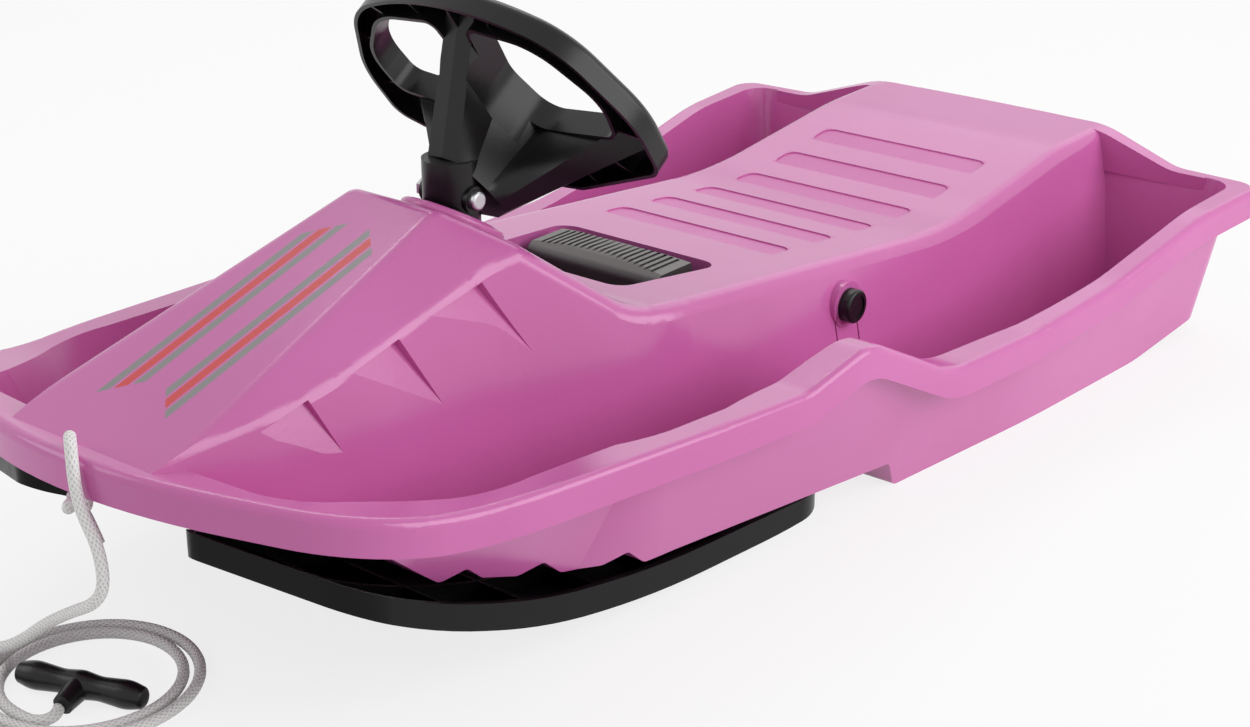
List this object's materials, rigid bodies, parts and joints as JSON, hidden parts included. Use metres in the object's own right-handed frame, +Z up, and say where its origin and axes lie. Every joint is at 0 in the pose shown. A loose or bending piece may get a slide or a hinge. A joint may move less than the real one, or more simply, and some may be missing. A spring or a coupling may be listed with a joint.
{
  "type": "steering sled",
  "caption": "Child's steering sled: moulded tub with a hood and saddle seat, a wheel that turns the front skis, a pull-up claw brake and a tow rope with a T-handle.",
  "frame": {"origin": "on the ground under the middle of the tub's length and width", "axes": "+Z up; the nose points along -Y, so a rider looks along -Y and +X is on the rider's left"},
  "size_m": [0.583, 1.189, 0.4112],
  "materials": {
    "tub_pink": "pink moulded polyethylene, glossy",
    "black_plastic": "black moulded plastic, satin",
    "grip_rubber": "dark ribbed soft plastic",
    "steel": "zinc-plated steel",
    "bush_white": "natural acetal",
    "rope_white": "white braided cord"
  },
  "bodies": {
    "sled": {"tub_shell": "tub_pink", "upper_bush": "bush_white", "lower_bush": "bush_white", "brake_axle": "steel", "axle_spacers": "black_plastic", "left_axle_cap": "black_plastic", "right_axle_cap": "black_plastic", "tow_rope": "rope_white", "rope_coil": "rope_white", "rope_knot": "rope_white", "tow_handle": "black_plastic"},
    "steering": {"steering_column": "steel", "thrust_washer": "bush_white", "column_pin": "steel", "steering_wheel": "black_plastic", "wheel_bolt": "steel", "wheel_nut": "steel", "ski_bridge": "black_plastic", "left_ski": "black_plastic", "right_ski": "black_plastic", "ski_bolts": "steel", "ski_nuts": "steel"},
    "brake": {"brake_lever": "black_plastic", "brake_grip": "grip_rubber", "grip_screws": "steel", "brake_claw": "steel", "claw_rivets": "steel"}
  },
  "joints": [
    {"name": "steering_turn", "type": "hinge", "parent": "sled", "child": "steering", "pos_m": [0, -0.206, 0.14], "axis": [0, 0, 1], "range_deg": [-10, 10]},
    {"name": "brake_pull", "type": "hinge", "parent": "sled", "child": "brake", "pos_m": [0, 0.1, 0.121], "axis": [-1, 0, 0], "range_deg": [0, 22]}
  ]
}
